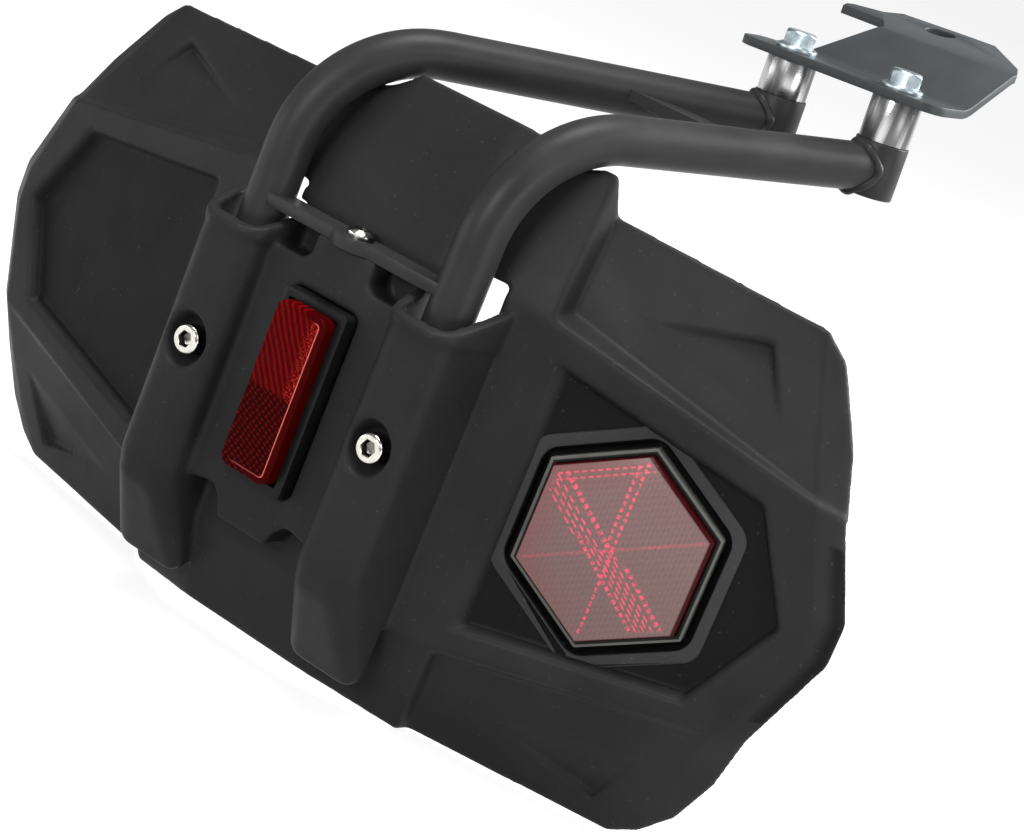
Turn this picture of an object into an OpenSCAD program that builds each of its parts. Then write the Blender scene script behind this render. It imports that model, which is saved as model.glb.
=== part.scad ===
// Rear fender with reflectors and tube bracket, in millimetres, +Z up.
// The fender faces -Y, its right wing points to +X and the bracket runs back to +Y.
// Lengths below are measured in the fender's own sketch frame: x across, y up, z outward.

/* [View] */
// Which piece to show

/* [Fender skin] */
// Wall thickness of the moulded skin
skin = 3; // [2:0.5:4]
// Depth of the wing plane below the screw heads, at the middle
fold_z = 13.9; // [10:0.1:20]
// Fall of the wing plane per millimetre outward
fold = 0.235; // [0.15:0.005:0.35]
// Height of the upper inner corner of the raised middle band
band_top = 55.5; // [50:0.5:60]
// Depth of the lower inner corner of the raised middle band
band_low = 56.3; // [50:0.5:60]
// Half width of the middle band at its inner corners
band_in = 66.5; // [62:0.5:70]
// Half width of the middle band at the wing edge
band_out = 166.5; // [160:0.5:172]
// Height where the band meets the wing edge
band_edge = 37.5; // [32:0.5:42]
// Half width of the whole fender
wing_half = 180.5; // [170:1:186]
// Height of the wings' upper edge
wing_top = 88; // [80:0.5:95]
// Depth of the wings' lower edge
wing_low = 89.5; // [80:0.5:95]
// Height of the raised middle part's top edge
crown_top = 102.5; // [96:0.5:110]
// Half width of the raised middle part at its top edge
crown_half = 60; // [55:0.5:64]
// How far the wings' rounded outer edge turns back
edge_drop = 5; // [2:0.5:8]
// Width of the wings' rounded outer edge
edge_w = 8; // [5:0.5:10]
// Step from the upper wing up to the raised middle part
crown_step = 8.5; // [5:0.5:11]
// Step from the lower wing up to the raised lip
lip_step = 7; // [4:0.5:9]
// Depth of the five-sided recesses
recess = 4.5; // [2:0.25:7]
// Slope width of the recess walls
recess_run = 2.2; // [1:0.1:4]
// Depth of the three-sided recesses at their tips
tip_recess = 4; // [2:0.25:6]

/* [Ribs] */
// Distance of each rib from the middle
rib_x = 39.5; // [36:0.5:44]
// Half width of a rib at its crest
rib_top_w = 12.4; // [11.5:0.1:14]
// Half width of a rib at its foot
rib_foot_w = 14.5; // [13:0.1:17]
// Crest of the ribs above the screw heads' level
rib_crest = 1.5; // [0:0.1:4]
// Rounding of the rib crest
rib_round = 8.5; // [4:0.5:9]
// Height of the rib mouth at its crest
mouth_y = 41.5; // [38:0.5:46]
// Depth below the middle where the rib's tail begins
tail_start = 50; // [44:1:56]
// Fall of the crest where it rounds into the tail
tail_drop = 8; // [4:0.5:12]
// Depth below the middle where the rib's tail ends
tail_end = 80; // [72:1:84]
// Width of the screw pocket across the rib
pocket_w = 14.5; // [13:0.5:17]
// Length of the screw pocket along the rib
pocket_l = 16.5; // [14:0.5:20]
// Floor of the screw pocket below the screw heads' level
pocket_floor = 5.5; // [4:0.25:6]

/* [Centre panel] */
// Depth of the panel between the ribs
panel_z = 8.5; // [6:0.5:12]
// Half length of the panel's shoulders
panel_half = 40; // [36:0.5:44]
// Half width of the panel's tongues
tongue_half = 12; // [9:0.5:15]
// Depth of the lower tongue's end
tongue_low = 49; // [44:0.5:53]

/* [Tubes] */
// Outer diameter of the bracket tubes
tube_od = 16; // [14:0.5:20]
// Wall of the bracket tubes
tube_wall = 1.5; // [1:0.1:2.5]
// Depth of the tubes inside the ribs
tube_z = 16; // [15.5:0.1:17.5]
// Height of the corner where the tubes bend back
corner_y = 106.7; // [95:0.1:120]
// Bend radius of the tubes at the centre line
bend_r = 44; // [36:1:50]
// Depth of the tubes' lower ends below the middle
tube_low = 40; // [20:1:48]
// Height of the weld bosses' middle
boss_y = 128.8; // [115:0.1:140]
// Depth of the weld bosses behind the screw heads' level
boss_z = 134.6; // [120:0.1:150]
// Sideways position of the left weld boss
boss_xl = 57.5; // [50:0.1:64]
// Distance between the weld bosses
boss_pitch = 40.8; // [36:0.1:46]
// Outer diameter of the weld bosses
boss_od = 18; // [16:0.5:20]
// Length of the weld bosses
boss_len = 18; // [17:0.5:24]
// Depth of the cross plate's rear edge
bar_back = 19.5; // [17:0.1:19.6]
// Depth of the cross plate's front edge
bar_front = 9; // [6:0.5:12]
// Size of the boss and spacer bore
boss_bore = 6.4; // [6.2:0.1:7]

/* [Mount plate] */
// Length of the spacers
spacer_len = 12.5; // [8:0.5:18]
// Outer diameter of the spacers
spacer_od = 17; // [14:0.5:19]
// Thickness of the mount plate
plate_t = 3; // [2:0.5:5]
// Bolt row to the front edge of the plate's lower flange
flange_front = 10; // [8:0.5:14]
// Bolt row to the plate's first bend
flange_back = 11; // [9:0.5:16]
// Slope of the plate's web
web_deg = 28; // [20:1:40]
// Width of the plate's flanges at their bends
plate_w = 63; // [58:0.5:66]
// Straight length of the plate's web
web_len = 24.5; // [18:0.5:32]
// Slope of the plate's upper flange
top_deg = 8.5; // [0:0.5:16]
// Length of the plate's upper flange
top_len = 32; // [26:0.5:40]
// Inner radius of the first bend
bend_in = 14; // [8:0.5:20]
// Inner radius of the second bend
bend_out = 8; // [4:0.5:14]
// Lean of the bracket's end toward the left wing
lean = 3; // [0:0.5:5]
// Nod of the bracket's end toward the front
nod = 3; // [0:0.5:5]
// Diameter of the hole that fixes the plate to the motorcycle
hole_d = 11; // [8.4:0.2:12]

/* [Reflectors] */
// Width of the long reflector's lens
long_w = 20.4; // [18:0.2:24]
// Length of the long reflector's lens
long_l = 57.5; // [50:0.5:62]
// Height of the long lens over the screw heads' level
long_top = 1.5; // [0:0.1:3]
// Rim of the long reflector's housing round its lens
long_rim = 3; // [2:0.25:4]
// Distance of the six-sided reflector from the wing's end
hex_in = 70.5; // [66:0.5:76]
// Corner radius of the six-sided lens
hex_r = 32.2; // [28:0.2:34]
// Corner radius of the pocket for the six-sided reflector
hex_pocket = 38; // [36.5:0.25:40]
// Depth of the pocket below the wing plane
hex_depth = 10; // [8:0.5:14]

/* [Fasteners] */
// Thread diameter of the flange bolts and rib screws
thread_d = 6; // [5:0.5:6]
// Head diameter of the rib screws
cap_d = 10; // [8.5:0.5:10]
// Head height of the rib screws
cap_h = 6; // [5:0.25:6]
// Thread diameter of the tongue screw
small_d = 5; // [4:0.5:5]

/* [Hidden] */
eps = 0.02;
// Distance of the six-sided reflector from the middle
hex_x = wing_half - hex_in;
// How far a recess wall's top sits in the wing it hangs from
sink = 0.2;
// Width and length of the steps where a tube's straight parts meet its bend
joint_w = 0.1;
joint_l = 0.3;
half = skin / 2;
fold_deg = atan(fold);
boss_xr = boss_xl + boss_pitch;
// The right boss seen from the left one, in the leaning frame of the bracket's end
right_end = boss_pitch * [cos(lean), -sin(lean) * cos(nod), sin(lean) * sin(nod)];
// Spacer and plate levels over the left boss's middle, in the same frame
spacer_up = boss_len / 2 + spacer_len;
plate_up = spacer_up + plate_t;
// The plate's underside, run from front to back as [depth, height, slope]
bend_end = [flange_back + (bend_in + plate_t) * sin(web_deg), (bend_in + plate_t) * (1 - cos(web_deg))];
web_end = bend_end + web_len * [cos(web_deg), sin(web_deg)];
top_start = web_end + bend_out * [sin(web_deg) - sin(top_deg), cos(top_deg) - cos(web_deg)];
plate_path = concat([[-flange_front, 0, 0]],
    [for (i = [0:6]) let (a = web_deg * i / 6)
        [flange_back + (bend_in + plate_t) * sin(a), (bend_in + plate_t) * (1 - cos(a)), a]],
    [for (i = [0:4]) let (a = web_deg + (top_deg - web_deg) * i / 4)
        [web_end.x + bend_out * (sin(web_deg) - sin(a)), web_end.y + bend_out * (cos(a) - cos(web_deg)), a]],
    [[top_start.x + top_len * cos(top_deg), top_start.y + top_len * sin(top_deg), top_deg]]);
// The hole's place along the bolt row, and its middle in the frame of the bracket's end
hole_u = 19.6;
hole_s = 21.5;
hole_pt = [hole_u, spacer_up + top_start.y + hole_s * sin(top_deg) + plate_t / 2 * cos(top_deg),
    -(top_start.x + hole_s * cos(top_deg) - plate_t / 2 * sin(top_deg))];
// Origin of the part: middle of the mount plate's hole
origin = [boss_xl, boss_y, -boss_z] + leaned(hole_pt);

// A point of the bracket's end turned by its nod and lean
function leaned(p) = let (y = p.y * cos(nod) - p.z * sin(nod), z = p.y * sin(nod) + p.z * cos(nod))
    [p.x * cos(lean) - y * sin(lean), p.x * sin(lean) + y * cos(lean), z];

// Wing planes: the middle band, the upper and the lower wing
function zm(x) = -fold_z - fold * x;
function zu(x, y) = -7.3 + (13.9 - fold_z) - (fold - 0.017) * x - 0.2936 * y;
function zl(x, y) = 2.2 + (13.9 - fold_z) - (fold + 0.0096) * x + 0.38 * y;
function mid(x, y) = [x, y, zm(x) - half];
function up(x, y, d = 0) = [x, y, zu(x, y) - half + d];
function low(x, y, d = 0) = [x, y, zl(x, y) - half + d];
function crown(x, y) = [x, y, zu(x, y) + crown_step - half];

module placed() {
    rotate([90, 0, 0])
        translate(-origin)
            children();
}

// The point d along the way from p to q
function toward(p, q, d) = p + (q - p) * (d / norm(q - p));

// A moulded plate spanned between skin points
module plate(pts) {
    hull()
        for (p = pts)
            translate(p)
                sphere(r = half, $fn = 6);
}

// One half of the skin, s = 1 right and -1 left: band, wings, crown and lip
module skin_half(s) {
    p1 = [band_in - 1.5, band_top];
    ru = [band_out, band_edge];
    p3 = [band_in + 2, -band_low];
    rl = [band_out, -band_edge];
    a = [71, 45.5];
    b = [146, 34];
    c = [166, -0.5];
    d = [147.5, -35.3];
    e = [71, -48.5];
    // Where the rounded outer edge begins on the band
    q1 = [wing_half - half, 8];
    q2 = [wing_half - half, -5];
    rui = toward(ru, p1, edge_w);
    rli = toward(rl, p3, edge_w);
    q1i = [q1.x - edge_w, 7];
    q2i = [q2.x - edge_w, -4.5];
    back = [0, 0, edge_drop];
    // Middle band round the five-sided recess
    plate([mid(p1.x, p1.y), mid(rui.x, rui.y), mid(b.x, b.y), mid(a.x, a.y)]);
    plate([mid(rui.x, rui.y), mid(q1i.x, q1i.y), mid(c.x, c.y), mid(b.x, b.y)]);
    plate([mid(q1i.x, q1i.y), mid(q2i.x, q2i.y), mid(c.x, c.y)]);
    plate([mid(q2i.x, q2i.y), mid(rli.x, rli.y), mid(d.x, d.y), mid(c.x, c.y)]);
    plate([mid(rli.x, rli.y), mid(p3.x, p3.y), mid(e.x, e.y), mid(d.x, d.y)]);
    band_rim = [[rui, ru], [q1i, q1], [q2i, q2], [rli, rl]];
    for (i = [0:2])
        plate([for (k = [i, i + 1], j = [0, 1]) mid(band_rim[k][j].x, band_rim[k][j].y) - j * back]);
    plate([mid(p1.x, p1.y), mid(a.x, a.y), mid(e.x, e.y), mid(p3.x, p3.y), mid(50, -band_low), mid(50, band_top)]);
    // Upper wing with its three-sided recess
    foot = [band_in - 1.5, band_top + 3];
    ti = [83.6, 65.3];
    to = [139.7, 53.3];
    tt = [124, 76.8];
    v1 = [62, wing_top + 1.2];
    v2 = [136, wing_top - 3];
    v3 = [144.5, wing_top - 10];
    v4 = [158, 56.5];
    plate([up(v1.x, v1.y), up(v2.x, v2.y), up(tt.x, tt.y), up(ti.x, ti.y)]);
    v3i = toward(v3, [110, 40], edge_w * 0.8);
    v4i = toward(v4, [110, 40], edge_w);
    plate([for (q = [tt, v2, v3i, v4i, rui, to]) up(q.x, q.y)]);
    up_rim = [[v2, v2, 0], [v3i, v3, 0.5], [v4i, v4, 0.85], [rui, ru, 1]];
    for (i = [0:2])
        plate([for (k = [i, i + 1], j = [0, 1])
            up(up_rim[k][j].x, up_rim[k][j].y, -j * up_rim[k][2] * edge_drop)]);
    plate([up(foot.x, foot.y), up(ti.x, ti.y), up(to.x, to.y), up(rui.x, rui.y)]);
    plate([up(foot.x, foot.y), up(v1.x, v1.y), up(ti.x, ti.y)]);
    plate([up(ti.x, ti.y, -sink), up(to.x, to.y, -sink), up(tt.x, tt.y - recess_run, -tip_recess)]);
    plate([up(ti.x, ti.y, -sink), up(tt.x, tt.y, -sink), up(tt.x, tt.y - recess_run, -tip_recess)]);
    plate([up(to.x, to.y, -sink), up(tt.x, tt.y, -sink), up(tt.x, tt.y - recess_run, -tip_recess)]);
    // Step between the band and the upper wing
    plate([mid(p1.x, p1.y), mid(rui.x, rui.y), up(rui.x, rui.y), up(foot.x, foot.y)]);
    plate([mid(rui.x, rui.y), up(rui.x, rui.y), mid(ru.x, ru.y) - back, up(ru.x, ru.y, -edge_drop)]);
    // Lower wing with its three-sided recess
    bfoot = [band_in + 1, -band_low - 2.5];
    bi = [86, -72.2];
    bo = [141.5, -58.7];
    bt = [127.5, -83.5];
    w1 = [62.5, -wing_low - 1];
    w2 = [134, -wing_low];
    w3 = [143, -wing_low + 5];
    w4 = [152.5, -74.5];
    w5 = [160.5, -58];
    plate([low(w1.x, w1.y), low(w2.x, w2.y), low(bt.x, bt.y), low(bi.x, bi.y)]);
    w3i = toward(w3, [110, -42], edge_w * 0.8);
    w4i = toward(w4, [110, -42], edge_w);
    w5i = toward(w5, [110, -42], edge_w);
    plate([for (q = [bt, w2, w3i, w4i, w5i, rli, bo]) low(q.x, q.y)]);
    low_rim = [[w2, w2, 0], [w3i, w3, 0.15], [w4i, w4, 0.45], [w5i, w5, 0.8], [rli, rl, 1]];
    for (i = [0:3])
        plate([for (k = [i, i + 1], j = [0, 1])
            low(low_rim[k][j].x, low_rim[k][j].y, -j * low_rim[k][2] * edge_drop)]);
    plate([low(bfoot.x, bfoot.y), low(bi.x, bi.y), low(bo.x, bo.y), low(rli.x, rli.y)]);
    plate([low(bfoot.x, bfoot.y), low(w1.x, w1.y), low(bi.x, bi.y)]);
    plate([low(bi.x, bi.y, -sink), low(bo.x, bo.y, -sink), low(bt.x, bt.y + recess_run, -tip_recess)]);
    plate([low(bi.x, bi.y, -sink), low(bt.x, bt.y, -sink), low(bt.x, bt.y + recess_run, -tip_recess)]);
    plate([low(bo.x, bo.y, -sink), low(bt.x, bt.y, -sink), low(bt.x, bt.y + recess_run, -tip_recess)]);
    plate([mid(p3.x, p3.y), mid(rli.x, rli.y), low(rli.x, rli.y), low(bfoot.x, bfoot.y)]);
    plate([mid(rli.x, rli.y), low(rli.x, rli.y), mid(rl.x, rl.y) - back, low(rl.x, rl.y, -edge_drop)]);
    // Crown above the band and lip below it, each with a side wall
    cm = [25, crown_top + 1.5, zu(25, crown_top) + crown_step - half];
    // The crown's left corner is cut back behind the tube
    ct = s > 0 ? crown(crown_half, crown_top - 1) : crown(crown_half - 7, wing_top - 9);
    cut = crown(crown_half - 16, crown_top - 8);
    end = s > 0 ? ct : crown(crown_half - 26, crown_top + 1);
    plate([mid(25, band_top), mid(p1.x, p1.y), ct, if (s < 0) cut, end, cm]);
    plate([mid(p1.x, p1.y), ct, up(s > 0 ? v1.x : ct.x + 2, s > 0 ? v1.y : ct.y), up(foot.x, foot.y)]);
    if (s < 0) {
        plate([ct, cut, up(ct.x + 2, ct.y), up(cut.x + 4, wing_top)]);
        plate([up(foot.x, foot.y), up(ct.x + 2, ct.y), up(cut.x + 4, wing_top), up(v1.x, v1.y)]);
    }
    lip_x = s > 0 ? 62 : 55;
    lt = [lip_x, -wing_low - 0.5, zl(62, -wing_low) + lip_step - half];
    lm = [25, -wing_low + 2.2, zl(25, -wing_low) + lip_step - half];
    plate([mid(25, -band_low), mid(p3.x, p3.y), lt, lm]);
    plate([mid(p3.x, p3.y), lt, low(w1.x, w1.y), low(bfoot.x, bfoot.y)]);
    // Strip beside the rib, and the flat middle that both halves share
    plate([mid(50, band_top), mid(25, band_top), mid(25, -band_low), mid(50, -band_low)]);
    if (s > 0) {
        middle = [mid(25, band_top), mid(25, -band_low)];
        plate([for (q = [middle[0], cm], m = [-1, 1]) [m * q.x, q.y, q.z]]);
        plate([for (q = [middle[1], lm], m = [-1, 1]) [m * q.x, q.y, q.z]]);
        plate([for (q = middle, m = [-1, 1]) [m * q.x, q.y, q.z]]);
    }
    // Floor and sloped walls of the five-sided recess
    r = recess_run;
    fa = [a.x + r * 1.6, a.y - r, 0];
    fb = [b.x - r * 0.3, b.y - r * 1.1, 0];
    fc = [c.x - r * 1.2, c.y, 0];
    fd = [d.x - r * 0.3, d.y + r * 1.1, 0];
    fe = [e.x + r * 1.6, e.y + r, 0];
    f5 = [for (q = [fa, fb, fc, fd, fe]) mid(q.x, q.y) - [0, 0, recess]];
    o5 = [for (q = [a, b, c, d, e]) mid(q.x, q.y)];
    plate(f5);
    for (i = [0:4])
        plate([o5[i], o5[(i + 1) % 5], f5[i], f5[(i + 1) % 5]]);
}

// Solid rib shape, shrunk by g, standing from the skin to the crest
module rib_shape(g, y_up, deep) {
    hull() {
        for (s = [-1, 1])
            translate([s * (rib_top_w - rib_round), -tail_start + rib_round, rib_crest - rib_round])
                rotate([-90, 0, 0])
                    cylinder(r = rib_round - g, h = tail_start - rib_round + y_up, $fn = 24);
        // The crest rounds down into the tail
        for (s = [-1, 1], q = [[0, 0], [-tail_drop * 0.75, -tail_drop * 0.22], [-tail_drop * 1.5, -tail_drop]])
            translate([s * (rib_top_w - rib_round), -tail_start + rib_round + q[0], rib_crest - rib_round + q[1]])
                sphere(r = rib_round - g, $fn = 24);
        translate([-rib_foot_w + g, -tail_start, -deep])
            cube([2 * (rib_foot_w - g), tail_start + y_up, 1]);
        for (s = [-1, 1])
            translate([s * (rib_foot_w - 6), -tail_end + 6, -deep])
                cylinder(r = 6 - g, h = 4, $fn = 24);
    }
}

// Everything added to the skin at one rib
module rib_add() {
    translate([rib_x, 0, 0]) {
        difference() {
            union() {
                rib_shape(0, mouth_y + 10, 2 - zm(rib_x));
                hull() {
                    for (s = [-1, 1], y = [mouth_y - 2.2, mouth_y + 10])
                        translate([s * (rib_top_w - rib_round), y, rib_crest - rib_round])
                            rotate([-90, 0, 0])
                                cylinder(r = rib_round + (y > mouth_y ? 1 : 0.9), h = 1, $fn = 24);
                    for (y = [mouth_y - 2.2, mouth_y + 10])
                        translate([-rib_foot_w - 1, y, -26])
                            cube([2 * rib_foot_w + 2, 1, 1]);
                }
            }
            // Mouth cut, leaning back toward the foot
            translate([-30, mouth_y + 0.4, 2])
                rotate([21, 0, 0])
                    translate([0, 0, -60])
                        cube([60, 40, 80]);
        }
        // Cup round the screw pocket
        translate([-pocket_w / 2 - 2, -pocket_l / 2 - 2, -pocket_floor - 1.5])
            cube([pocket_w + 4, pocket_l + 4, pocket_floor + 1]);
    }
}

// Hollow of one rib, open at the mouth and at the back
module rib_hollow() {
    translate([rib_x, 0, 0])
        difference() {
            union() {
                rib_shape(skin, mouth_y + 12, 26);
                translate([0, 0, -20])
                    rib_shape(skin, mouth_y + 18, 26);
            }
            translate([-pocket_w / 2 - 2, -pocket_l / 2 - 2, -pocket_floor - 1.5])
                cube([pocket_w + 4, pocket_l + 4, pocket_floor + 10]);
        }
}

module rib_cuts() {
    translate([rib_x, 0, 0]) {
        // Dished screw pocket
        translate([0, 0, -pocket_floor])
            scale([1, pocket_l / pocket_w, 1]) {
                cylinder(d1 = pocket_w - 3, d2 = pocket_w, h = 3.5, $fn = 40);
                translate([0, 0, 3.4])
                    cylinder(d1 = pocket_w, d2 = pocket_w + 4, h = 5, $fn = 40);
            }
        translate([0, 0, -20])
            cylinder(d = thread_d + 0.4, h = 40, $fn = 24);
    }
}

// Outline of the centre panel
module panel_outline(o = 0) {
    w = rib_x - rib_top_w + 2;
    t = tongue_half + o;
    h = panel_half + o;
    polygon([[-w, -h - 2], [-w, h], [-t - 3, h], [-t, h + 3], [-t, cross_low], [t, cross_low], [t, h + 3],
        [t + 3, h], [w, h], [w, -h - 2], [t + 4, -h], [t + 1, -h - 3], [t - 2, -tongue_low], [-t + 2, -tongue_low],
        [-t - 1, -h - 3], [-t - 4, -h]]);
}
cross_low = 49.7;
cross_t = 4;
housing_w = long_w + 2 * long_rim;
housing_l = long_l + 2 * long_rim;

// Long reflector pocket, sized with a clearance c
module long_block(c, z0, z1) {
    hull()
        for (sx = [-1, 1], sy = [-1, 1])
            translate([sx * (housing_w / 2 - 2), sy * (housing_l / 2 - 2), z0])
                cylinder(r = 2 + c, h = z1 - z0, $fn = 16);
}
housing_base = 13.5;

// Frame of the right wing's plane, z out of the plane
module on_wing() {
    translate([0, 0, -fold_z])
        rotate([0, fold_deg, 0])
            translate([hex_x / cos(fold_deg), -1, 0])
                children();
}
hex_seat = hex_depth - 2.5;

module fender_body() {
    color([0.05, 0.05, 0.055])
        placed()
            difference() {
                union() {
                    difference() {
                        union() {
                            skin_half(1);
                            mirror([1, 0, 0])
                                skin_half(-1);
                        }
                        // The long reflector's cup and the rib hollows pass through the skin
                        translate([-24, -36, -40])
                            cube([48, 72, 30]);
                    }
                    for (m = [0, 1])
                        mirror([m, 0, 0])
                            rib_add();
                    // Centre panel, its side walls and the solid upper tongue
                    difference() {
                        translate([0, 0, -panel_z - 12])
                            linear_extrude(height = 12)
                                panel_outline();
                        translate([-rib_x + rib_top_w, -panel_half + skin, -panel_z - 20])
                            cube([2 * (rib_x - rib_top_w), 2 * panel_half - 2 * skin - 5, 20 - skin]);
                    }
                    long_block(3.5, -housing_base - 2.5, -panel_z);
                    // Cup of the six-sided pocket
                    on_wing()
                        translate([0, 0, -hex_depth])
                            rotate([0, 0, 30])
                                cylinder(r1 = hex_pocket + 2, r2 = hex_pocket + 3, h = hex_depth - recess + 0.5, $fn = 6);
                }
                for (m = [0, 1])
                    mirror([m, 0, 0]) {
                        rib_hollow();
                        rib_cuts();
                    }
                long_block(0.3, -housing_base, 10);
                for (sy = [-1, 1])
                    translate([0, sy * 20, -30])
                        cylinder(d = 4.4, h = 30, $fn = 20);
                // Six-sided pocket, its seat and its stud hole
                on_wing() {
                    translate([0, 0, -hex_seat])
                        rotate([0, 0, 30])
                            cylinder(r1 = hex_pocket - 1, r2 = hex_pocket + 0.8, h = hex_depth + 4, $fn = 6);
                    translate([0, 0, -30])
                        cylinder(d = 5.4, h = 40, $fn = 20);
                }
                // Notches in the rib mouths for the cross plate
                for (m = [0, 1])
                    mirror([m, 0, 0])
                        translate([tongue_half + 2, cross_low - 0.2, -bar_back - 0.1])
                            cube([rib_x - tongue_half - 2, cross_t + 0.5, bar_back]);
                // Bore for the tongue's threaded insert
                translate([0, cross_low + 1, -tongue_screw_z])
                    rotate([90, 0, 0])
                        cylinder(d = insert_d, h = insert_len + 1, $fn = 24);
                // Room for the bent tubes over the crown
                for (s = [-1, 1])
                    intersection() {
                        tube_bend(s, tube_od + 1.6, 0);
                        translate([-150, 59.3, -200])
                            cube([300, 100, 220]);
                    }
            }
}
tongue_screw_z = 13.6;
insert_d = 7;
insert_len = 8;

// Path of one tube: start, corner and end, then the bend's frame
function tube_end(s) = [s > 0 ? boss_xr : boss_xl, boss_y, -boss_z];
function unit(v) = v / norm(v);
function d_run(s) = unit(tube_end(s) - [s * rib_x, corner_y, -tube_z]);
function bend_ang(s) = acos(d_run(s).y);
function bend_tan(s) = bend_r * tan(bend_ang(s) / 2);
function bend_n(s) = unit(d_run(s) - [0, d_run(s).y, 0]);
function run_len(s) = norm(tube_end(s) - [s * rib_x, corner_y, -tube_z]) - bend_tan(s);

// A solid rod along one tube's path, straight parts a hair wider than the bend between them
module bent_rod(s, d, more) {
    n = bend_n(s);
    top = corner_y - bend_tan(s);
    translate([s * rib_x, -tube_low - more, -tube_z])
        rotate([-90, 0, 0])
            cylinder(d = d + joint_w, h = tube_low + top + more + joint_l, $fn = 48);
    translate([s * rib_x, top, -tube_z])
        rotate([0, 180 - atan2(n.z, n.x), 0])
            translate([-bend_r, 0, 0]) {
                rotate_extrude(angle = bend_ang(s), $fn = 96)
                    translate([bend_r, 0])
                        circle(d = d, $fn = 48);
                rotate([0, 0, bend_ang(s)])
                    translate([bend_r, -joint_l, 0])
                        rotate([-90, 0, 0])
                            cylinder(d = d + joint_w, h = run_len(s) + joint_l + more, $fn = 48);
            }
}

// The tube of outer diameter od, with a bore id where id is above nought
module tube_bend(s, od, id) {
    difference() {
        bent_rod(s, od, 0);
        if (id > 0)
            bent_rod(s, id, 1);
    }
}

module tube_piece(s) {
    color([0.06, 0.06, 0.065])
        placed()
            difference() {
                tube_bend(s, tube_od, tube_od - 2 * tube_wall);
                // Saddle where the tube meets its boss, and the rivet nut's hole
                translate(tube_end(s))
                    rotate([nod, 0, lean])
                        rotate([-90, 0, 0])
                            translate([0, 0, -30])
                                cylinder(d = boss_od, h = 60, $fn = 64);
                translate([s * rib_x, 0, -tube_z])
                    cylinder(d = 9, h = 20, $fn = 32);
            }
}

module tube_left() {
    tube_piece(-1);
}

module tube_right() {
    tube_piece(1);
}

// The bracket's end: x along the bolt row, y up the bosses, -z back; s picks the left or right boss
module bracket_end(s = -1) {
    translate([boss_xl, boss_y, -boss_z])
        rotate([nod, 0, lean])
            translate(s > 0 ? right_end : [0, 0, 0])
                children();
}

// Short tube welded to a tube's end
module boss_piece(s) {
    color([0.06, 0.06, 0.065])
        placed()
            bracket_end(s)
                translate([0, -boss_len / 2, 0])
                    rotate([-90, 0, 0])
                        difference() {
                            cylinder(d = boss_od, h = boss_len, $fn = 64);
                            translate([0, 0, -1])
                                cylinder(d = thread_d, h = boss_len + 2, $fn = 32);
                        }
}

module boss_left() {
    boss_piece(-1);
}

module boss_right() {
    boss_piece(1);
}

// Flat bar between the tubes at the rib mouths
module cross_plate() {
    color([0.06, 0.06, 0.065])
        placed()
            difference() {
                translate([0, cross_low + cross_t, 0])
                    rotate([90, 0, 0])
                        linear_extrude(height = cross_t)
                            difference() {
                                intersection() {
                                    union() {
                                        translate([-rib_x, -bar_back])
                                            square([2 * rib_x, bar_back - bar_front]);
                                        translate([0, -tongue_screw_z])
                                            circle(r = 9, $fn = 48);
                                    }
                                    translate([-rib_x, -bar_back])
                                        square([2 * rib_x, bar_back]);
                                }
                                translate([0, -tongue_screw_z])
                                    circle(d = small_d + 0.4, $fn = 32);
                            }
                for (s = [-1, 1])
                    translate([s * rib_x, 0, -tube_z])
                        rotate([-90, 0, 0])
                            cylinder(d = tube_od, h = corner_y, $fn = 48);
            }
}

// Flat bar welded between the tubes near the bosses
brace_f = 0.66;
function run_pt(s, f) = [s * rib_x, corner_y, -tube_z] * (1 - f) + tube_end(s) * f;
module rear_brace() {
    l = run_pt(-1, brace_f);
    r = run_pt(1, brace_f);
    color([0.06, 0.06, 0.065])
        placed()
            difference() {
                translate([l.x, l.y, l.z])
                    rotate([0, -atan2(r.z - l.z, r.x - l.x), 0])
                        translate([0, -2, -7])
                            cube([norm(r - l), 4, 14]);
                for (s = [-1, 1])
                    tube_bend(s, tube_od, 0);
            }
}

// Length of the spacer on boss s; the leaning plate makes the right one longer
function spacer_l(s) = spacer_len - (s > 0 ? right_end.y : 0);

module spacer_piece(s) {
    color([0.78, 0.79, 0.8])
        placed()
            bracket_end(s)
                translate([0, boss_len / 2, 0])
                    rotate([-90, 0, 0])
                        difference() {
                            cylinder(d = spacer_od, h = spacer_l(s), $fn = 64);
                            translate([0, 0, -1])
                                cylinder(d = boss_bore, h = spacer_l(s) + 2, $fn = 32);
                        }
}

module spacer_left() {
    spacer_piece(-1);
}

module spacer_right() {
    spacer_piece(1);
}

// Plan of the plate: a rounded lower flange, a tapering web and an upper flange with a finger
module plate_plan() {
    t = top_start.x;
    hull() {
        for (q = [[-11, -flange_front + 7, 7], [-11, 4, 7], [51, -flange_front + 8, 8]])
            translate([q[0], q[1]])
                circle(r = q[2], $fn = 32);
        translate([-4, flange_back + 1])
            square([plate_w, 1]);
    }
    polygon([[-4, flange_back + 1], [plate_w - 4, flange_back + 1], [plate_w - 3, t], [plate_w - 7, t + 9],
        [plate_w - 27, t + top_len], [0, t + top_len - 2], [-4, t + 22], [-14, t + 17.5], [-15.5, t + 15],
        [-14.5, t + 10.5], [2.5, t + 9.5], [8, t]]);
}

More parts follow.
